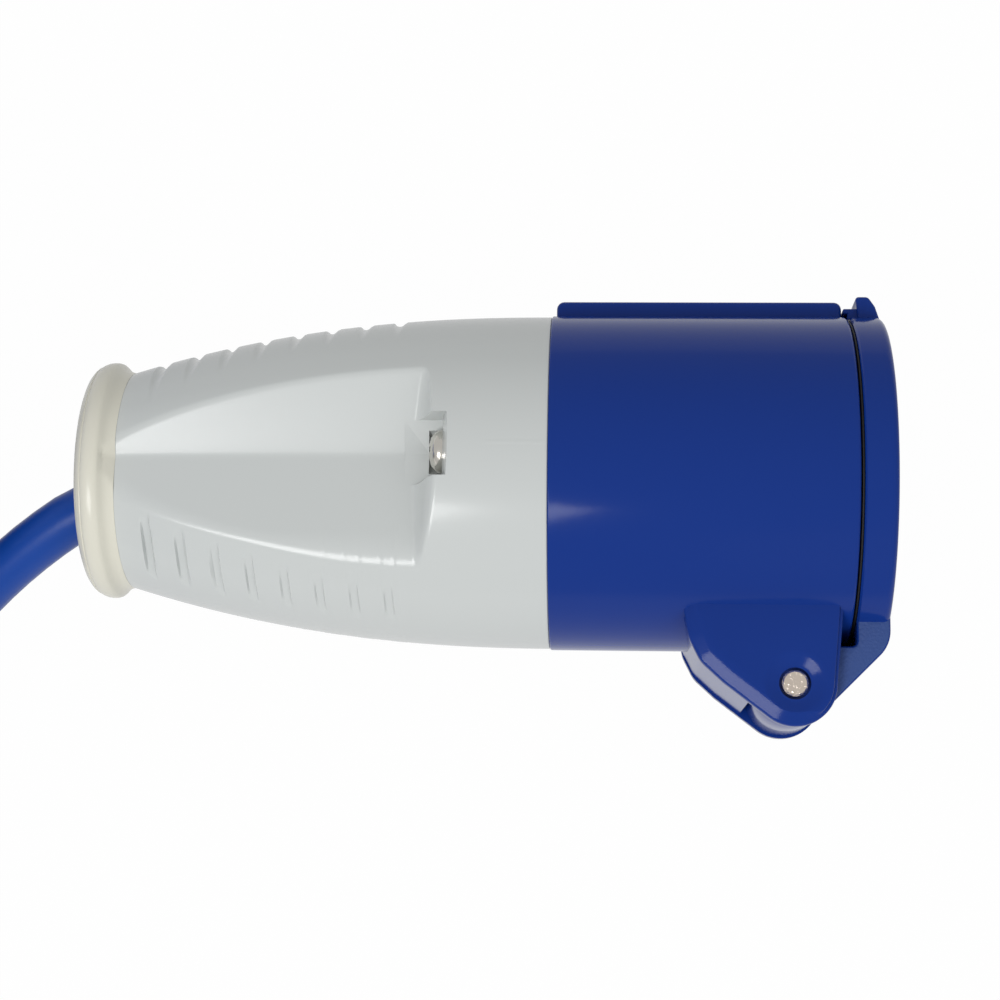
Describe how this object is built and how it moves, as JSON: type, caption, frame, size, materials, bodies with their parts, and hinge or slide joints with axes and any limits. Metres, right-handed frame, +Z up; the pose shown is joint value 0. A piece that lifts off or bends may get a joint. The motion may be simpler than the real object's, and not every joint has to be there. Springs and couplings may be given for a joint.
{
  "type": "shore power cord",
  "caption": "Flexible power lead with a barrel coupler under a sprung hinged lid at one end and a round-pin plug at the other, its cord wound in a coil.",
  "frame": {"origin": "middle of the coupler's footprint on the surface it lies on, with the cord and the plug left out", "axes": "+X along the coupler's axis towards its hinged lid, +Y towards the key rib, +Z up, away from the surface"},
  "size_m": [0.3007, 0.1394, 0.0918],
  "materials": {
    "handle_white": "fine satin moulding",
    "body_blue": "satin moulding, grained on the lid's arm",
    "ring_cream": "satin moulding",
    "insert_dark": "matt moulding",
    "seal_black": "matt",
    "nickel": "nickel plated, fine turned",
    "pin_steel": "plain ground steel",
    "spring_steel": "drawn wire",
    "contact_brass": "machined",
    "sheath_blue": "smooth satin sheath",
    "core_brown": "smooth",
    "core_blue": "smooth",
    "core_green_yellow": "smooth"
  },
  "bodies": {
    "lead": {"coupler_handle": "handle_white", "coupler_body_screws": "nickel", "coupler_body_seal": "seal_black", "coupler_entry_ring": "ring_cream", "coupler_cord_seal": "seal_black", "coupler_cord_grip_bar": "handle_white", "coupler_cord_grip_screws": "nickel", "coupler_terminal_screws": "nickel", "coupler_core_line": "core_brown", "coupler_core_neutral": "core_blue", "coupler_core_earth": "core_green_yellow", "coupler_housing": "body_blue", "lid_hinge_pin": "pin_steel", "lid_spring": "spring_steel", "coupler_contact_carrier": "insert_dark", "coupler_contact_line": "contact_brass", "coupler_contact_neutral": "contact_brass", "coupler_contact_earth": "contact_brass", "cord_lead": "sheath_blue", "cord_coil": "sheath_blue", "cord_tail": "sheath_blue", "plug_handle": "handle_white", "plug_body_screws": "nickel", "plug_body_seal": "seal_black", "plug_entry_ring": "ring_cream", "plug_cord_seal": "seal_black", "plug_cord_grip_bar": "handle_white", "plug_cord_grip_screws": "nickel", "plug_terminal_screws": "nickel", "plug_core_line": "core_brown", "plug_core_neutral": "core_blue", "plug_core_earth": "core_green_yellow", "plug_housing": "body_blue", "plug_pin_carrier": "insert_dark", "plug_pin_line": "nickel", "plug_pin_neutral": "nickel", "plug_pin_earth": "nickel"},
    "lid": {"coupler_lid": "body_blue", "lid_gasket": "seal_black"}
  },
  "joints": [
    {"name": "lid_hinge", "type": "hinge", "parent": "lead", "child": "lid", "pos_m": [0.04855, -0.0286, 0.0272], "axis": [0, 0, -1], "range_deg": [0, 110], "stiffness_Nm_per_rad": 0.02, "springref_deg": -114.59, "deforming": ["lid_spring"]}
  ]
}
